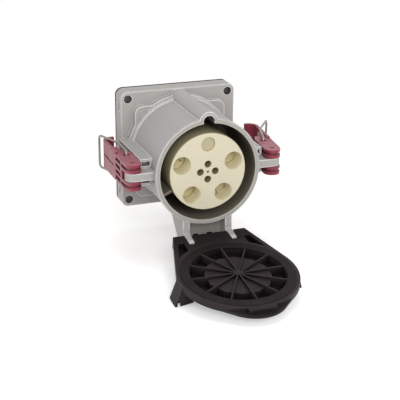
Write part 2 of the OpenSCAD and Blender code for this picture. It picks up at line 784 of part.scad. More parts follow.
// Pan-headed screw along +z, its head's underside at z = 0
module screw(d, head_d, l) {
    head_h = d * 0.8;
    difference() {
        translate([0, 0, -head_h]) cylinder(d = head_d, h = head_h);
        translate([-head_d / 2 - cut, -d * 0.1, -head_h - cut])
            cube([head_d + 2 * cut, d * 0.2, head_h / 3 + cut]);
    }
    translate([0, 0, -eps]) cylinder(d = d, h = l);
}

module block_screws() color("silver") at_depth(carrier_back) at_angles(screw_angles, block_screw_r)
    screw(block_screw_d, block_screw_head_d, 2 * block_flange_t + ledge_t - 2);

// Slotted grub screw that lies along +x from radius r0 to r1
module grub(d, r0, r1) {
    translate([r0, 0, 0]) rotate([0, 90, 0]) difference() {
        cylinder(d = d, h = r1 - r0);
        translate([-d * 0.1, -d, r1 - r0 - d * 0.3]) cube([d * 0.2, 2 * d, d]);
    }
}

module terminal_screws() color("silver") at_depth() {
    for (a = pole_angles) rotate([0, 0, a]) translate([pole_r, 0, terminal_back + terminal_out / 2])
        grub(terminal_screw_d, terminal_wire_d / 2 + 0.4, terminal_d / 2 + 0.6);
    for (a = pilot_angles) rotate([0, 0, a]) translate([pilot_r, 0, carrier_back - pilot_out / 2])
        grub(pilot_screw_d, pilot_bore_d / 2 + 0.1, pilot_pin_d / 2 + 0.5);
}

module hinge_pin() color("silver") translate([-ear_x, -hinge_depth, -hinge_drop])
    rotate([0, 90, 0]) cylinder(d = hinge_pin_d, h = 2 * ear_x);

module latch_pin() color("silver") translate([pivot_x, -pivot_depth, -lever_h / 2 + 0.6])
    cylinder(d = latch_pin_d, h = lever_h - 1.2);

// ---------------------------------------------------------------- lid

// The rim's circle, and its tangents to the hinge ears
module lid_outline() {
    reach = sqrt(ear_x * ear_x + ear_end * ear_end);
    tangent = acos(lid_r / reach) - atan2(ear_end, ear_x);
    tx = lid_r * cos(tangent);
    ty = lid_r * sin(tangent);
    circle(lid_r, $fn = 128);
    polygon([[tx, ty], [ear_x, -ear_end], [-ear_x, -ear_end], [-tx, ty]]);
}

// Thumb lip: a rounded nose whose straight sides start and end just inside the circles they join
module thumb_lip() {
    inside = 0.2;
    nose_v = lid_r + lip_out - lip_r;
    tangent = asin((lid_r - lip_r) / nose_v);
    start = (lid_r - inside) * [cos(tangent), sin(tangent)];
    end = (lip_r - inside) * [cos(tangent), sin(tangent)] + [0, nose_v];
    translate([0, 0, rim_t - lip_t]) linear_extrude(lip_t) {
        translate([0, nose_v]) circle(lip_r);
        polygon([start, end, [-end[0], end[1]], [-start[0], start[1]]]);
    }
    translate([-lip_block_x, 0, lid_edge_drop])
        cube([2 * lip_block_x, lid_r + lip_block_out, rim_t - lip_t - lid_edge_drop + eps]);
}

// Rim, sloping cover and the block that carries the hinge ears
module lid_body() {
    translate([0, 0, lid_edge_drop]) linear_extrude(rim_t - lid_edge_drop) lid_outline();
    translate([0, 0, rim_t - eps])
        cylinder(r1 = cover_r, r2 = cover_r - cover_slope, h = lid_t - rim_t + eps, $fn = 128);
    translate([0, 0, rim_t - eps]) linear_extrude(lid_t - rim_t + eps)
        polygon([[ear_x, -ear_end], [ear_x + ear_flare, ear_root_v],
            [-ear_x - ear_flare, ear_root_v], [-ear_x, -ear_end]]);
}

module wing() {
    // Outer plate that leans outwards, with a gusset wall at each end
    root_x = lid_r - 1.6;
    heel_x = lid_r - wing_heel;
    plate = [[root_x - 1, 2], [root_x + 1, 2], [wing_tip_x, wing_tip_k],
        [wing_tip_x - wing_t, wing_tip_k], [root_x - 1, lid_t]];
    gusset = [[heel_x, lid_t - 1], [root_x, rim_t - 2], [root_x + 1, 2], [wing_tip_x, wing_tip_k],
        [wing_tip_x - wing_tip_w, wing_tip_k], [heel_x, wing_tip_k - wing_t]];
    difference() {
        rotate([90, 0, 0]) translate([0, 0, -wing_w / 2]) {
            for (z = [0, wing_w - wing_t]) translate([0, 0, z]) linear_extrude(wing_t) polygon(gusset);
            linear_extrude(wing_w) polygon(plate);
        }
        translate([notch_x - wing_notch_w / 2, -wing_w, notch_k - wire_d / 2 - gap])
            cube([wing_notch_w, 2 * wing_w, wing_tip_k]);
    }
}

// Finger behind the hinge that meets the web's notch when the lid is open
module lid_stop() {
    stop_end = hinge_depth - barrel_l + web_back;
    side = [[0, hinge_k + 2.5], [stop_end + web_t / 4, hinge_k + 2.5], [stop_end + web_t / 4, hinge_k + 5],
        [stop_end - stop_slope_l, hinge_k + arm_knuckle_r], [0, hinge_k + arm_knuckle_r]];
    translate([stop_w / 2 - 0.6, -hinge_drop, 0]) rotate([90, 0, -90])
        linear_extrude(stop_w - 1.2) polygon(side);
}

module lid() color(lid_black) lid_frame() {
    difference() {
        union() {
            lid_body();
            thumb_lip();
            // Ears and middle knuckle round the hinge pin
            translate([-ear_x, -hinge_drop, hinge_k]) rotate([0, 90, 0])
                cylinder(r = arm_knuckle_r, h = 2 * ear_x);
            for (s = [-1, 1]) translate([s * stop_x, 0, 0]) lid_stop();
            both_sides() wing();
        }
        // Seal seat and the hollow inside it
        translate([0, 0, -cut]) cylinder(d = seal_out_d + 2 * pin_gap, h = seal_t + pin_gap + cut, $fn = 128);
        translate([0, 0, -cut]) cylinder(d = seal_in_d, h = lid_t - lid_skin + cut, $fn = 128);
        // Slots for the housing's hinge arms, and the gap between the ears
        both_sides() translate([arm_x - gap, -ear_end - cut, -cut])
            cube([arm_t + 2 * gap, ear_end + cut - lid_r - 2.5, 2 * lid_t]);
        translate([-arm_x, -2 * ear_end + hinge_drop + arm_knuckle_r, -cut])
            cube([2 * arm_x, 2 * (ear_end - hinge_drop - arm_knuckle_r), hinge_k - arm_knuckle_r + cut]);
        both_sides() lid_pocket();
        translate([-ear_x - cut, -hinge_drop, hinge_k]) rotate([0, 90, 0])
            cylinder(d = hinge_pin_d + 2 * pin_gap, h = 2 * (ear_x + cut));
    }
    lid_inside();
}

// Moulding pocket between a hinge ear and the rim, open towards the mouth
module lid_pocket() {
    outer_x = ear_x - ear_wall;
    inner_x = outer_x - ear_pocket_w;
    translate([0, 0, -cut]) linear_extrude(rim_t + cut) difference() {
        polygon([[inner_x, -lid_r - ear_pocket_w], [outer_x, -lid_r - ear_pocket_w],
            [outer_x + ear_flare + 1.7, ear_root_v], [inner_x, ear_root_v]]);
        circle(lid_r + 1);
    }
}

module lid_inside() {
    intersection() {
        cylinder(d = seal_in_d + eps, h = lid_t);
        union() {
            for (i = [0:rib_count / 2 - 1]) rotate([0, 0, i * 360 / rib_count])
                translate([-seal_in_d / 2, -lid_rib_t / 2, 0]) cube([seal_in_d, lid_rib_t, lid_t - 1]);
            cylinder(r = 3.6, h = lid_t - 1);
            translate([0, 0, floor_drop]) rotate([0, 0, 180 / rib_count])
                cylinder(d = floor_d, h = lid_t - floor_drop - 1, $fn = 12);
        }
    }
}

module lid_seal() color([0.13, 0.12, 0.12]) lid_frame() rotate_extrude($fn = 128)
    polygon([[seal_in_d / 2, seal_t], [seal_in_d / 2, 0.6], [seal_in_d / 2 + 0.6, 0],
        [seal_out_d / 2 - 0.6, 0], [seal_out_d / 2, 0.6], [seal_out_d / 2, seal_t]]);

// ---------------------------------------------------------------- latches

module lever_plan() {
    // Solid body behind the nose, with a sloping toe and a spine that runs out along the handle
    r = lever_nose_r;
    toe = lever_body_l + lever_toe_l;
    spine = lever_body_l + lever_spine_l;
    circle(r);
    polygon([[-r, 0], [r, 0], [r, spine], [r - handle_t, spine + 7], [0.5, spine + 1],
        [-0.6, toe + 2], [-3, toe + 1], [2.7 - r, toe], [-r, lever_body_l]]);
}

module handle_plan() {
    r = lever_nose_r - 0.3;
    curl_w = lever_l - curl_r;
    translate([r - handle_t, lever_body_l + 2]) square([handle_t, curl_w - lever_body_l - 2]);
    translate([r - curl_r, curl_w]) intersection() {
        difference() {
            circle(curl_r);
            circle(curl_r - handle_t);
        }
        square(curl_r);
    }
    translate([-5.4, lever_l - handle_t + 0.4]) square([r - curl_r + 5.4 + eps, handle_t - 0.4]);
}

module latch_lever() {
    fork_z = lug_t / 2 + fork_gap;
    groove_top = lever_h / 2 - nose_flange_t;
    difference() {
        union() {
            translate([0, 0, -lever_h / 2]) linear_extrude(lever_h) lever_plan();
            translate([0, 0, -handle_h / 2]) linear_extrude(handle_h) handle_plan();
        }
        // Fork for the lug
        translate([-2 * lever_nose_r, -2 * lever_nose_r, -fork_z])
            cube([4 * lever_nose_r, 2 * lever_nose_r + lug_r + 1.5, 2 * fork_z]);
        // Groove round each fork half, which runs on as the front pockets
        for (s = [-1, 1]) translate([0, 0, s * (groove_top - nose_groove_h / 2) - nose_groove_h / 2])
            linear_extrude(nose_groove_h) difference() {
                translate([-2 * lever_nose_r, -2 * lever_nose_r])
                    square([4 * lever_nose_r, 2 * lever_nose_r + pocket_start - pocket_rib]);
                circle(lever_nose_r - nose_groove_t);
                translate([-lever_nose_r + nose_groove_t, 0])
                    square([2 * (lever_nose_r - nose_groove_t), 3 * lever_nose_r]);
            }
        // Pocket rows in the outer face
        for (i = [0:pocket_rows - 1])
            translate([lever_nose_r - pocket_t, pocket_start,
                (i - (pocket_rows - 1) / 2) * pocket_pitch - pocket_h / 2])
                cube([pocket_t + cut, pocket_l, pocket_h]);
        // Slit along the handle
        translate([0, lever_body_l + 6, -handle_slit_h / 2])
            cube([2 * lever_nose_r, lever_l - curl_r - lever_body_l - 6, handle_slit_h]);
        // Pin bore and the bail's holes with their slots
        translate([0, 0, -lever_h]) cylinder(d = latch_pin_d + 2 * pin_gap, h = 2 * lever_h);
        for (s = [-1, 1]) translate([-bail_hole_u, bail_hole_w, s * lever_h / 2]) {
            translate([0, 0, -bail_hole_l]) cylinder(d = wire_d + 2 * pin_gap, h = 2 * bail_hole_l);
            translate([-4, -1.7, -1.6]) cube([8, 3.4, 3.2]);
        }
    }
}

// Straight wire along +z, and what follows it; its ends lap over the bends beside it
module run(l) {
    translate([0, 0, -wire_lap]) cylinder(d = wire_d, h = l + 2 * wire_lap, $fn = 32);
    translate([0, 0, l]) children();
}

// Wire that bends through angle a towards the direction dir, and what follows it
module bend(a, dir, r) {
    rotate([0, 0, dir]) {
        translate([r, 0, 0]) rotate([90, 0, 180]) rotate_extrude(angle = a, $fn = 48)
            translate([r, 0]) circle(d = wire_d - 2 * wire_step, $fn = 32);
        translate([r, 0, 0]) rotate([0, a, 0]) translate([-r, 0, 0]) rotate([0, 0, -dir]) children();
    }
}

// One end of a bail, from its hole in the lever to where the end bar begins
module bail_side() {
    slope = atan2(bail_offset, bail_reach - bail_leg_l);
    slant_l = sqrt(pow(bail_offset, 2) + pow(bail_reach - bail_leg_l, 2));
    hole_bottom = lever_h / 2 - bail_hole_l + 2 * gap;
    knee_cut = bail_bend_r * tan(slope / 2);
    translate([0, 0, hole_bottom])
        run(bail_z - bail_bend_r - hole_bottom)
        bend(90, 90, bail_bend_r)
        run(bail_leg_l - bail_bend_r - knee_cut)
        bend(slope, 0, bail_bend_r)
        run(slant_l - bail_bend_r - knee_cut)
        bend(90, 90, bail_bend_r)
        children();
}

module bail() {
    bail_side() run(2 * (bail_z - bail_bend_r));
    mirror([0, 0, 1]) bail_side();
}

housing();
panel_gasket();
contact_block();
blanking_plug();
safety_shutter();
contact_retainer();
contact_carrier();
power_contact(0);  // power_contact_1
power_contact(1);  // power_contact_2
power_contact(2);  // power_contact_3
power_contact(3);  // power_contact_4
contact_spring(0);  // contact_spring_1
contact_spring(1);  // contact_spring_2
contact_spring(2);  // contact_spring_3
contact_spring(3);  // contact_spring_4
power_terminal(0);  // power_terminal_1
power_terminal(1);  // power_terminal_2
power_terminal(2);  // power_terminal_3
power_terminal(3);  // power_terminal_4
pilot_contact(0);  // pilot_contact_1
pilot_contact(1);  // pilot_contact_2
pilot_contact(2);  // pilot_contact_3
pilot_contact(3);  // pilot_contact_4
block_screws();
terminal_screws();
hinge_pin();
lid();
lid_seal();
mirror([1, 0, 0]) latch_pin();  // left_latch_pin
latch_pin();  // right_latch_pin
color(latch_red) mirror([1, 0, 0]) latch_frame(0) latch_lever();  // left_latch_lever
color(latch_red) latch_frame(right_lever_open) latch_lever();  // right_latch_lever
color("silver") mirror([1, 0, 0]) bail_frame(0, 0) bail();  // left_bail
color("silver") bail_frame(right_lever_open, right_bail_open) bail();  // right_bail
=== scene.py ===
"""Industrial panel socket: materials and wear, studio light, floor and camera."""
import json
import math

import bpy
from mathutils import Matrix, Vector


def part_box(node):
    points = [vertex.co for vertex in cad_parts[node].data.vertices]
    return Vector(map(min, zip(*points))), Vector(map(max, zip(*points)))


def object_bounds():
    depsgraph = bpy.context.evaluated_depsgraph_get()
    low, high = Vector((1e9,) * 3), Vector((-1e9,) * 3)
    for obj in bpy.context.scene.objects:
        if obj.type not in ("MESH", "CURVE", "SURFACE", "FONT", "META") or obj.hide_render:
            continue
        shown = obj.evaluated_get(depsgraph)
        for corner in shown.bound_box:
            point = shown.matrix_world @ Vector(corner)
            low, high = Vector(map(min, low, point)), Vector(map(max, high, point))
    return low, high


MM = 0.001

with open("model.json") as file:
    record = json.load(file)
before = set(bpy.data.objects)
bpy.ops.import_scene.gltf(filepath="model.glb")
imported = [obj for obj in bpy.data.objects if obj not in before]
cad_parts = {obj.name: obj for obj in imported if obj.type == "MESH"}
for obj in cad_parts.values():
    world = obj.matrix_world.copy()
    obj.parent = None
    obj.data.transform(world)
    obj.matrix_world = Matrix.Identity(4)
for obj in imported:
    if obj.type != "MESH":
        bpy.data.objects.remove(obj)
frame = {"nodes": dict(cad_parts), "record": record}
cad_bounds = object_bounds()
nodes = frame["nodes"]


def named(rows, name):
    """The row of this name in one of the record's lists."""
    return next(row for row in rows if row["name"] == name)


# Sizes of the solids that no mount or joint states, in millimetres
MOUTH_AHEAD = 1.8  # of the block's face
FLANGE_GAP = 1.5  # between the block's flange and the bore
SHROUD_GAP = 11.5  # between the block's front and the bore
KEYWAY_OUT = 2.0  # of the keyway's centre line, from the bore's wall
KEYWAY_R = 6.3
ARM_X = 20.8  # of a hinge arm's inner face
PILOTS_R = 15.0  # round all four pilot holes

# Places that the finishes follow, in millimetres
block_low, block_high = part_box("contact_block")
BLOCK_FACE_Y = block_low.y / MM
MOUTH_Y = BLOCK_FACE_Y - MOUTH_AHEAD
BORE_R = (block_high.x - block_low.x) / 2 / MM + FLANGE_GAP
BLOCK_R = BORE_R - SHROUD_GAP
KEYWAY_Z = BORE_R + KEYWAY_OUT
bolts = named(frame["record"]["mounts"], "panel_bolts")["dims"]
BOLT_XZ = bolts["spacing_x_mm"] / 2
BOLT_HOLE_R = bolts["hole_r_mm"]
HINGE_Y = named(frame["record"]["behaviour"]["joints"], "lid_hinge")["pos_m"][1] / MM

# Where the camera stands, and what it looks at
CAMERA_AZIMUTH = -20.65
CAMERA_ELEVATION = 21.03
CAMERA_ROLL = 0.71
CAMERA_TARGET = Vector((12.4, -60.0, -54.78)) * MM
CAMERA_DISTANCE = 1.2346
LENS_MM = 96.69
SENSOR_MM = 36

# Soft lights: name, place and size in metres, power in watts
LIGHTS_AIM = (0, -0.06, -0.03)
LIGHTS = (
    ("key", (-0.30, -1.65, 0.80), 0.7, 13.5),
    ("left", (-1.5, -0.6, 0.5), 0.9, 4),
    ("right", (1.4, -1.0, 0.7), 0.9, 5),
    ("top", (0.0, -0.2, 1.6), 0.9, 6),
)
WORLD_COLOUR = (1.0, 0.985, 0.965)
WORLD_STRENGTH = 0.40

# The floor, in metres
FLOOR_HALF = 3.0
FLOOR_BELOW = 0.0005
FADE_FROM = 0.22
FADE_TO = 0.62
FLOOR_LIFT = 0.37  # light added to what the camera sees of it, so that only the shadow is grey


# ------------------------------------------------------------------ camera

def place_camera():
    """A long lens, above and to the left of the socket's axis, rolled by under a degree."""
    azimuth = math.radians(CAMERA_AZIMUTH)
    elevation = math.radians(CAMERA_ELEVATION)
    roll = math.radians(CAMERA_ROLL)
    back = Vector((math.sin(azimuth) * math.cos(elevation),
                   -math.cos(azimuth) * math.cos(elevation),
                   math.sin(elevation)))
    level = Vector((math.cos(azimuth), math.sin(azimuth), 0))
    upright = back.cross(level)
    right = level * math.cos(roll) + upright * math.sin(roll)
    up = upright * math.cos(roll) - level * math.sin(roll)
    data = bpy.data.cameras.new("camera")
    data.sensor_width = SENSOR_MM
    data.lens = LENS_MM
    data.clip_start = 0.05
    data.clip_end = 20
    camera = bpy.data.objects.new("camera", data)
    camera.matrix_world = Matrix.Translation(CAMERA_TARGET + back * CAMERA_DISTANCE) @ Matrix(
        ((right.x, up.x, back.x), (right.y, up.y, back.y), (right.z, up.z, back.z))).to_4x4()
    bpy.context.scene.collection.objects.link(camera)
    bpy.context.scene.camera = camera


# --------------------------------------------------------------- materials

class Surface:
    """A Principled material whose colour, roughness and bump come from object-space noise."""

    def __init__(self, name, colour, roughness, metallic=0.0, specular=0.5):
        self.material = bpy.data.materials.new(name)
        self.material.use_nodes = True
        self.tree = self.material.node_tree
        self.shader = self.tree.nodes["Principled BSDF"]
        self.shader.inputs["Metallic"].default_value = metallic
        self.shader.inputs["Specular IOR Level"].default_value = specular
        self.place = self.node("ShaderNodeTexCoord").outputs["Object"]
        self.base = self.colour(colour)
        self.rough = roughness
        self.height = None
        self.rounding = 0.0

    def node(self, kind, **settings):
        made = self.tree.nodes.new(kind)
        for key, value in settings.items():
            setattr(made, key, value)
        return made

    def link(self, output, target):
        self.tree.links.new(output, target)

    def colour(self, rgb):
        made = self.node("ShaderNodeRGB")
        made.outputs[0].default_value = (*rgb, 1)
        return made.outputs[0]

    def noise(self, size_mm, detail=3.0, stretch=(1, 1, 1), roughness=0.55):
        """Noise whose features are about size_mm across, from 0 to 1."""
        mapping = self.node("ShaderNodeMapping")
        mapping.inputs["Scale"].default_value = stretch
        self.link(self.place, mapping.inputs["Vector"])
        made = self.node("ShaderNodeTexNoise")
        made.inputs["Scale"].default_value = 1 / (size_mm * MM)
        made.inputs["Detail"].default_value = detail
        made.inputs["Roughness"].default_value = roughness
        self.link(mapping.outputs["Vector"], made.inputs["Vector"])
        return made.outputs["Fac"]

    def ramp(self, value, low, high):
        """value spread so that low becomes 0 and high becomes 1."""
        made = self.node("ShaderNodeMapRange")
        made.inputs["From Min"].default_value = low
        made.inputs["From Max"].default_value = high
        self.link(value, made.inputs["Value"])
        return made.outputs["Result"]

    def math(self, operation, a, b):
        made = self.node("ShaderNodeMath", operation=operation)
        for socket, value in zip(made.inputs, (a, b)):
            if isinstance(value, (int, float)):
                socket.default_value = value
            else:
                self.link(value, socket)
        return made.outputs[0]

    def tint(self, mask, rgb, strength=1.0):
        """Mixes rgb into the colour where mask is high."""
        made = self.node("ShaderNodeMix", data_type="RGBA")
        self.link(self.math("MULTIPLY", mask, strength), made.inputs["Factor"])
        self.link(self.base, made.inputs["A"])
        made.inputs["B"].default_value = (*rgb, 1)
        self.base = made.outputs["Result"]

    def vary_roughness(self, mask, low, high):
        made = self.node("ShaderNodeMapRange")
        made.inputs["To Min"].default_value = low
        made.inputs["To Max"].default_value = high
        self.link(mask, made.inputs["Value"])
        self.rough = made.outputs["Result"]

    def raise_by(self, mask, height_mm):
        """Adds mask times height_mm to the bump's height."""
        part = self.math("MULTIPLY", mask, height_mm * MM)
        self.height = part if self.height is None else self.math("ADD", self.height, part)

    def edges(self, width_mm, sharp=0.8):
        """1 along sharp edges, 0 on flat or gently curved faces; a higher sharp takes in more."""
        bevel = self.node("ShaderNodeBevel", samples=6)
        bevel.inputs["Radius"].default_value = width_mm * MM
        geometry = self.node("ShaderNodeNewGeometry")
        dot = self.node("ShaderNodeVectorMath", operation="DOT_PRODUCT")
        self.link(bevel.outputs["Normal"], dot.inputs[0])
        self.link(geometry.outputs["Normal"], dot.inputs[1])
        return self.ramp(dot.outputs["Value"], 0.995, sharp)

    def hollows(self, reach_mm):
        """1 deep in corners and holes, 0 out in the open."""
        occlusion = self.node("ShaderNodeAmbientOcclusion", samples=6)
        occlusion.inputs["Distance"].default_value = reach_mm * MM
        return self.math("SUBTRACT", 1.0, occlusion.outputs["AO"])

    def edges_standing_out(self, width_mm, reach_mm, sharp=0.8):
        """1 along edges that stand out, 0 on faces and in inner corners."""
        standing_out = self.ramp(self.hollows(reach_mm), 0.5, 0.3)
        return self.math("MULTIPLY", self.edges(width_mm, sharp), standing_out)

    def axis_mm(self, index):
        """One of the frame's coordinates, in millimetres."""
        split = self.node("ShaderNodeSeparateXYZ")
        self.link(self.place, split.inputs[0])
        return self.math("MULTIPLY", split.outputs[index], 1 / MM)

    def absolute(self, value):
        return self.math("ABSOLUTE", value, 0.0)

    def length(self, a, b):
        """Length of the flat vector a, b."""
        squares = self.math("ADD", self.math("POWER", a, 2.0), self.math("POWER", b, 2.0))
        return self.math("SQRT", squares, 0.0)

    def from_axis_mm(self, x, z):
        """Distance from the line along Y through x and z, in millimetres."""
        return self.length(self.math("SUBTRACT", self.axis_mm(0), x),
                           self.math("SUBTRACT", self.axis_mm(2), z))

    def facing(self, index):
        """How far a face looks along one of the frame's axes, before any joint moves."""
        split = self.node("ShaderNodeSeparateXYZ")
        self.link(self.node("ShaderNodeTexCoord").outputs["Normal"], split.inputs[0])
        return split.outputs[index]

    def facing_up(self):
        """1 on faces that look up, 0 on upright ones."""
        return self.ramp(self.facing(2), 0.35, 0.9)

    def facing_outwards(self):
        """1 on faces that look sideways, away from the socket's middle."""
        side = self.math("SIGN", self.axis_mm(0), 0.0)
        return self.ramp(self.math("MULTIPLY", self.facing(0), side), 0.35, 0.9)

    def finish(self):
        self.link(self.base, self.shader.inputs["Base Color"])
        if isinstance(self.rough, (int, float)):
            self.shader.inputs["Roughness"].default_value = self.rough
        else:
            self.link(self.rough, self.shader.inputs["Roughness"])
        normal = None
        if self.rounding:
            bevel = self.node("ShaderNodeBevel", samples=6)
            bevel.inputs["Radius"].default_value = self.rounding * MM
            normal = bevel.outputs["Normal"]
        if self.height is not None:
            bump = self.node("ShaderNodeBump")
            bump.inputs["Strength"].default_value = 1.0
            bump.inputs["Distance"].default_value = 1.0
            self.link(self.height, bump.inputs["Height"])
            if normal is not None:
                self.link(normal, bump.inputs["Normal"])
            normal = bump.outputs["Normal"]
        if normal is not None:
            self.link(normal, self.shader.inputs["Normal"])
        return self.material


def housing_paint():
    """Light warm grey paint over a cast surface with a dark bore; its bright edges are partly wear and
    partly painted highlight, its arm tips carry a painted highlight, and painted shade darkens its
    barrel, rim, hollows, bolt holes and the web under the mouth.
    """
    s = Surface("housing_paint", (0.43, 0.415, 0.40), 0.46, specular=0.4)
    s.tint(s.ramp(s.noise(26, 4), 0.35, 0.7), (0.385, 0.37, 0.355), 0.6)
    s.tint(s.ramp(s.noise(1.1, 2), 0.62, 0.76), (0.27, 0.25, 0.23), 0.35)
    # Painted shade: the barrel's outside is a little darker and cooler than the flange.
    barrel_shade = s.ramp(s.from_axis_mm(0, 0), BORE_R + 13.0, BORE_R + 9.0)
    s.tint(barrel_shade, (0.415, 0.407, 0.412), 0.6)
    # Painted shade in the housing's corners and recesses.
    s.tint(s.hollows(6), (0.19, 0.18, 0.165), 0.65)

    # The web and arms under the mouth: painted shade darkens the web, and a painted highlight
    # brightens the arm tips
    below = s.ramp(s.axis_mm(2), -60.0, -66.0)
    between_arms = s.ramp(s.absolute(s.axis_mm(0)), ARM_X, ARM_X - 0.3)
    s.tint(s.math("MULTIPLY", below, between_arms), (0.25, 0.245, 0.215), 0.75)
    s.tint(s.ramp(s.axis_mm(1), HINGE_Y + 1.0, HINGE_Y - 2.0), (0.72, 0.71, 0.69), 0.7)

    # Painted shade darkens the front of the barrel's wall round the mouth.
    rim = at_the_rim(s)
    s.tint(rim, (0.36, 0.33, 0.285), 0.6)
    # Bright edges, partly wear to bare metal and partly painted highlight, weaker on the rim and under
    # the mouth.
    bright_edges = s.math("MULTIPLY", s.edges_standing_out(2.0, 3, 0.93), s.ramp(s.noise(14, 4), 0.25, 0.42))
    dimmer_edge_places = s.math("MULTIPLY", s.math("MAXIMUM", rim, below), 0.6)
    s.tint(s.math("MULTIPLY", bright_edges, s.math("SUBTRACT", 1.0, dimmer_edge_places)), (0.92, 0.91, 0.90), 0.9)

    s.tint(in_the_bore(s), (0.16, 0.138, 0.108), 1.0)
    # Painted shade: the walls of the bolt holes are near black.
    s.tint(in_bolt_holes(s), (0.05, 0.045, 0.04), 1.0)
    s.vary_roughness(s.noise(6, 3), 0.38, 0.58)
    s.raise_by(s.noise(0.9, 3), 0.05)
    s.raise_by(s.noise(11, 3), 0.14)
    s.rounding = 0.9
    return s.finish()


def at_the_rim(s):
    """1 on the front of the barrel's wall, round the mouth."""
    wall = s.ramp(s.from_axis_mm(0, 0), BORE_R + 6.0, BORE_R + 3.5)
    return s.math("MULTIPLY", wall, s.ramp(s.axis_mm(1), MOUTH_Y + 8.0, MOUTH_Y + 3.0))


def in_bolt_holes(s):
    """1 on the walls of the four mounting holes."""
    across = s.math("SUBTRACT", s.absolute(s.axis_mm(0)), BOLT_XZ)
    up = s.math("SUBTRACT", s.absolute(s.axis_mm(2)), BOLT_XZ)
    return s.ramp(s.length(across, up), BOLT_HOLE_R + 0.4, BOLT_HOLE_R + 0.05)


def in_the_bore(s):
    """1 on the walls of the bore and its keyway, which are coloured dark."""
    bore = s.ramp(s.from_axis_mm(0, 0), BORE_R + 0.5, BORE_R + 0.1)
    keyway = s.ramp(s.from_axis_mm(0, KEYWAY_Z), KEYWAY_R + 0.6, KEYWAY_R + 0.2)
    inside = s.ramp(s.axis_mm(1), MOUTH_Y + 0.1, MOUTH_Y + 0.9)
    return s.math("MULTIPLY", s.math("MAXIMUM", bore, keyway), inside)


def insulator_cream(name, colour, floor):
    """Cream moulded thermoset; floor colours its holes, where a floor lighter than the face is painted
    light; its edges are lighter, partly wear and partly painted highlight; painted shade darkens its
    hollows, its pilot holes and its side, more further in.
    """
    s = Surface(name, colour, 0.4, specular=0.45)
    s.tint(s.ramp(s.noise(20, 3), 0.35, 0.7), tuple(0.93 * c for c in colour), 0.5)
    s.tint(s.ramp(s.noise(0.9, 2), 0.64, 0.76), (0.52, 0.45, 0.30), 0.3)
    # The holes take the floor colour; a floor lighter than the face, as the cream's, is painted light
    # in the holes.
    in_holes = s.ramp(s.axis_mm(1), BLOCK_FACE_Y + 0.2, BLOCK_FACE_Y + 1.0)
    s.tint(in_holes, floor, 0.85)
    # Painted shade in the four pilot holes.
    pilots = s.math("MULTIPLY", in_holes, s.ramp(s.from_axis_mm(0, 0), PILOTS_R, PILOTS_R - 1.0))
    s.tint(pilots, (0.34, 0.29, 0.16), 0.9)
    # Painted shade in tight corners and gaps, outlining the holes.
    s.tint(s.hollows(1.2), (0.24, 0.19, 0.09), 0.35)
    # Lighter edges, partly wear and partly painted highlight.
    s.tint(s.edges_standing_out(0.6, 2), (0.86, 0.82, 0.70), 0.5)
    # Painted shade on the block's side: darker than its face, and darker still further into the gap
    # round it.
    side = s.ramp(s.from_axis_mm(0, 0), BLOCK_R - 0.6, BLOCK_R - 0.1)
    deep = s.ramp(s.axis_mm(1), BLOCK_FACE_Y - 4.0, BLOCK_FACE_Y + 42.0)
    s.tint(side, (0.44, 0.385, 0.22), 0.8)
    s.tint(s.math("MULTIPLY", side, deep), (0.15, 0.125, 0.065), 0.95)
    s.vary_roughness(s.noise(5, 3), 0.32, 0.48)
    s.raise_by(s.noise(0.7, 2), 0.012)
    s.rounding = 0.5
    return s.finish()


def moulded_buff(name, colour):
    """Plain moulded plastic, with painted shade as dark lines in its grooves and gaps."""
    s = Surface(name, colour, 0.5, specular=0.4)
    s.tint(s.ramp(s.noise(12, 3), 0.35, 0.7), tuple(0.85 * c for c in colour), 0.5)
    # Painted shade in grooves and gaps.
    s.tint(s.ramp(s.hollows(1.3), 0.12, 0.5), tuple(0.12 * c for c in colour), 0.9)
    s.vary_roughness(s.noise(4, 3), 0.4, 0.6)
    s.raise_by(s.noise(0.8, 2), 0.015)
    s.rounding = 0.3
    return s.finish()


def lid_plastic():
    """Charcoal moulding with a fine grain; its greyed edges are partly wear and partly painted
    highlight, and painted shade darkens its hollows, its hinge end and its front.
    """
    s = Surface("lid_plastic", (0.031, 0.024, 0.027), 0.5, specular=0.09)
    s.tint(s.ramp(s.noise(30, 4), 0.4, 0.75), (0.042, 0.033, 0.036), 0.7)
    s.tint(s.ramp(s.noise(1.4, 3), 0.62, 0.78), (0.05, 0.042, 0.044), 0.3)
    # Painted shade in the lid's hollows.
    s.tint(s.ramp(s.hollows(16), 0.2, 0.8), (0.002, 0.0016, 0.0017), 0.95)
    # Painted shade, darker toward the hinge end.
    hinge_end_shade = s.ramp(s.axis_mm(1), HINGE_Y - 34, HINGE_Y - 12)
    s.tint(hinge_end_shade, (0.004, 0.0032, 0.0034), 0.65)
    # Painted shade on the lid's front.
    nose = s.ramp(s.axis_mm(1), HINGE_Y - 138, HINGE_Y - 150)
    s.tint(nose, (0.004, 0.003, 0.003), 0.6)
    # Greyed edges, partly wear and partly painted highlight.
    s.tint(s.edges_standing_out(0.6, 2), (0.095, 0.08, 0.085), 0.6)
    s.vary_roughness(s.noise(7, 3), 0.36, 0.58)
    s.raise_by(s.noise(0.7, 3), 0.03)
    s.rounding = 0.6
    return s.finish()


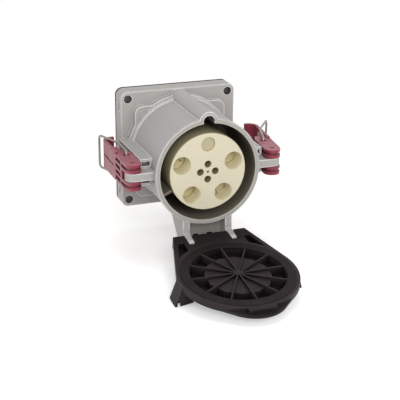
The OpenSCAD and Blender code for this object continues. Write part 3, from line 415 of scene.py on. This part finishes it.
def soft_rubber(name, colour):
    """Dull rubber with pale dust, and painted shade that darkens it from the lid's hinge end back."""
    s = Surface(name, colour, 0.62, specular=0.09)
    s.tint(s.ramp(s.noise(20, 3), 0.4, 0.75), tuple(1.5 * c for c in colour), 0.6)
    s.tint(s.ramp(s.noise(2.2, 3), 0.62, 0.78), tuple(2.2 * c for c in colour), 0.35)
    # Painted shade, darker from the lid's hinge end back.
    s.tint(s.ramp(s.axis_mm(1), HINGE_Y - 50, HINGE_Y - 20), tuple(0.25 * c for c in colour), 0.8)
    s.vary_roughness(s.noise(5, 3), 0.52, 0.75)
    s.raise_by(s.noise(0.6, 3), 0.02)
    s.rounding = 0.5
    return s.finish()


def latch_red():
    """Dark red glass-filled plastic; its tops and outer sides are paler, partly dust and partly
    painted sheen and light, its edges paler, partly wear and partly painted highlight, and painted
    shade darkens its hollows.
    """
    s = Surface("latch_red", (0.27, 0.030, 0.055), 0.42, specular=0.5)
    s.tint(s.ramp(s.noise(16, 4), 0.35, 0.7), (0.22, 0.020, 0.040), 0.6)
    s.tint(s.ramp(s.noise(1.0, 3), 0.60, 0.75), (0.36, 0.09, 0.12), 0.35)
    # Paler on top: partly dust and partly painted sheen.
    dust_and_sheen_on_top = s.math("MULTIPLY", s.facing_up(), s.ramp(s.noise(11, 4), 0.1, 0.8))
    s.tint(dust_and_sheen_on_top, (0.44, 0.20, 0.23), 0.75)
    # Paler on the outer sides: partly dust and partly painted light.
    dust_and_light_outside = s.math("MULTIPLY", s.facing_outwards(), s.ramp(s.noise(9, 4), 0.2, 0.75))
    s.tint(dust_and_light_outside, (0.46, 0.25, 0.27), 0.7)
    # Paler edges, partly wear and partly painted highlight.
    s.tint(s.edges_standing_out(0.45, 2), (0.52, 0.24, 0.27), 0.6)
    # Painted shade in the lever's hollows.
    s.tint(s.hollows(4), (0.06, 0.004, 0.010), 0.75)
    s.vary_roughness(s.noise(4, 3), 0.34, 0.54)
    s.raise_by(s.noise(0.8, 3), 0.02)
    s.rounding = 0.6
    return s.finish()


def drawn_metal(name, colour, roughness, grain=(1, 1, 1)):
    """Bare metal with fine drawing lines."""
    s = Surface(name, colour, roughness, metallic=1.0)
    s.tint(s.ramp(s.noise(8, 3), 0.4, 0.75), tuple(0.7 * c for c in colour), 0.6)
    s.vary_roughness(s.noise(0.9, 3, grain), roughness - 0.08, roughness + 0.14)
    s.raise_by(s.noise(0.35, 2, grain), 0.006)
    s.rounding = 0.3
    return s.finish()


def slot_materials():
    """The material of each slot in the record."""
    return {
        "housing_paint": housing_paint(),
        "gasket_rubber": soft_rubber("gasket_rubber", (0.016, 0.015, 0.015)),
        "insulator_cream": insulator_cream(
            "insulator_cream", colour=(0.70, 0.645, 0.48), floor=(0.88, 0.82, 0.60)),
        "shutter_plastic": moulded_buff("shutter_plastic", (0.64, 0.56, 0.33)),
        "carrier_plastic": moulded_buff("carrier_plastic", (0.50, 0.44, 0.32)),
        "stainless": drawn_metal("stainless", (0.56, 0.54, 0.52), 0.34),
        "lid_plastic": lid_plastic(),
        "seal_rubber": soft_rubber("seal_rubber", (0.018, 0.0145, 0.0155)),
        "latch_red": latch_red(),
        "bail_wire": drawn_metal("bail_wire", (0.33, 0.30, 0.275), 0.32, grain=(1, 6, 1)),
        "silvered_copper": drawn_metal("silvered_copper", (0.72, 0.69, 0.64), 0.28),
        "spring_steel": drawn_metal("spring_steel", (0.40, 0.40, 0.41), 0.32),
        "terminal_brass": drawn_metal("terminal_brass", (0.62, 0.43, 0.17), 0.33),
    }


def special_materials():
    """Nodes whose colour and wear differ from their slot's: a darker, yellower plug whose colour is
    painted shade, to read as a recess, and dusty latch pins.
    """
    pin = drawn_metal("dusty_pin", (0.27, 0.17, 0.175), 0.5)
    # Painted shade: the plug is darker and yellower than the cream, to read as a recess.
    plug = insulator_cream("plug_cream", colour=(0.52, 0.465, 0.29), floor=(0.50, 0.44, 0.27))
    return {"blanking_plug": plug, "left_latch_pin": pin, "right_latch_pin": pin}


def paint_nodes():
    """Every CAD node takes its own material, or else its slot's."""
    slots = slot_materials()
    special = special_materials()
    for part in frame["record"]["subparts"]:
        materials = nodes[part["node"]].data.materials
        materials.clear()
        materials.append(special.get(part["node"], slots[part["material_slot"]]))


# ------------------------------------------------------------------ studio

def area_light(name, place, size, power):
    """A square soft light that looks at the object."""
    data = bpy.data.lights.new(name, "AREA")
    data.shape = "RECTANGLE"
    data.size = data.size_y = size
    data.energy = power
    light = bpy.data.objects.new(name, data)
    light.location = place
    light.rotation_euler = (Vector(LIGHTS_AIM) - Vector(place)).to_track_quat("-Z", "Y").to_euler()
    bpy.context.scene.collection.objects.link(light)


def light_path_mix(tree, lit, shown):
    """lit for the light on the object, shown for what the camera and mirror-like surfaces see."""
    path = tree.nodes.new("ShaderNodeLightPath")
    seen = path.outputs["Is Camera Ray"]
    for ray in ("Is Glossy Ray", "Is Transmission Ray"):
        either = tree.nodes.new("ShaderNodeMath")
        either.operation = "MAXIMUM"
        tree.links.new(seen, either.inputs[0])
        tree.links.new(path.outputs[ray], either.inputs[1])
        seen = either.outputs[0]
    mix = tree.nodes.new("ShaderNodeMixShader")
    tree.links.new(seen, mix.inputs["Fac"])
    tree.links.new(lit, mix.inputs[1])
    tree.links.new(shown, mix.inputs[2])
    return mix.outputs[0]


def floor_shown(tree, shader):
    """What the camera sees of the floor: lifted to white round the shadow, plain white further out."""
    lift = tree.nodes.new("ShaderNodeEmission")
    lift.inputs["Strength"].default_value = FLOOR_LIFT
    lifted = tree.nodes.new("ShaderNodeAddShader")
    tree.links.new(shader.outputs[0], lifted.inputs[0])
    tree.links.new(lift.outputs[0], lifted.inputs[1])
    white = tree.nodes.new("ShaderNodeEmission")
    place = tree.nodes.new("ShaderNodeTexCoord")
    length = tree.nodes.new("ShaderNodeVectorMath")
    length.operation = "LENGTH"
    tree.links.new(place.outputs["Object"], length.inputs[0])
    fade = tree.nodes.new("ShaderNodeMapRange")
    fade.interpolation_type = "SMOOTHSTEP"
    fade.inputs["From Min"].default_value = FADE_FROM
    fade.inputs["From Max"].default_value = FADE_TO
    tree.links.new(length.outputs["Value"], fade.inputs["Value"])
    far = tree.nodes.new("ShaderNodeMixShader")
    tree.links.new(fade.outputs["Result"], far.inputs["Fac"])
    tree.links.new(lifted.outputs[0], far.inputs[1])
    tree.links.new(white.outputs[0], far.inputs[2])
    return far.outputs[0]


def make_floor():
    """A pale floor that takes the shadow near the object and fades to plain white further out."""
    z = cad_bounds[0][2] - FLOOR_BELOW
    corners = [(x * FLOOR_HALF, y * FLOOR_HALF, z) for x, y in ((-1, -1), (1, -1), (1, 1), (-1, 1))]
    mesh = bpy.data.meshes.new("floor")
    mesh.from_pydata(corners, [], [(0, 1, 2, 3)])
    floor = bpy.data.objects.new("floor", mesh)
    bpy.context.scene.collection.objects.link(floor)
    material = bpy.data.materials.new("floor")
    material.use_nodes = True
    tree = material.node_tree
    shader = tree.nodes["Principled BSDF"]
    shader.inputs["Base Color"].default_value = (0.95, 0.95, 0.95, 1)
    shader.inputs["Roughness"].default_value = 0.9
    shader.inputs["Specular IOR Level"].default_value = 0.1
    surface = light_path_mix(tree, shader.outputs[0], floor_shown(tree, shader))
    tree.links.new(surface, tree.nodes["Material Output"].inputs["Surface"])
    mesh.materials.append(material)


def make_world():
    """Soft light from all round, behind a background that is plain white."""
    world = bpy.data.worlds.new("studio")
    world.use_nodes = True
    tree = world.node_tree
    soft = tree.nodes["Background"]
    soft.inputs["Color"].default_value = (*WORLD_COLOUR, 1)
    soft.inputs["Strength"].default_value = WORLD_STRENGTH
    white = tree.nodes.new("ShaderNodeBackground")
    white.inputs["Color"].default_value = (1, 1, 1, 1)
    white.inputs["Strength"].default_value = 1.0
    surface = light_path_mix(tree, soft.outputs[0], white.outputs[0])
    tree.links.new(surface, tree.nodes["World Output"].inputs["Surface"])
    bpy.context.scene.world = world


bpy.context.scene.view_settings.view_transform = "Standard"
place_camera()
paint_nodes()
make_floor()
make_world()
for light in LIGHTS:
    area_light(*light)
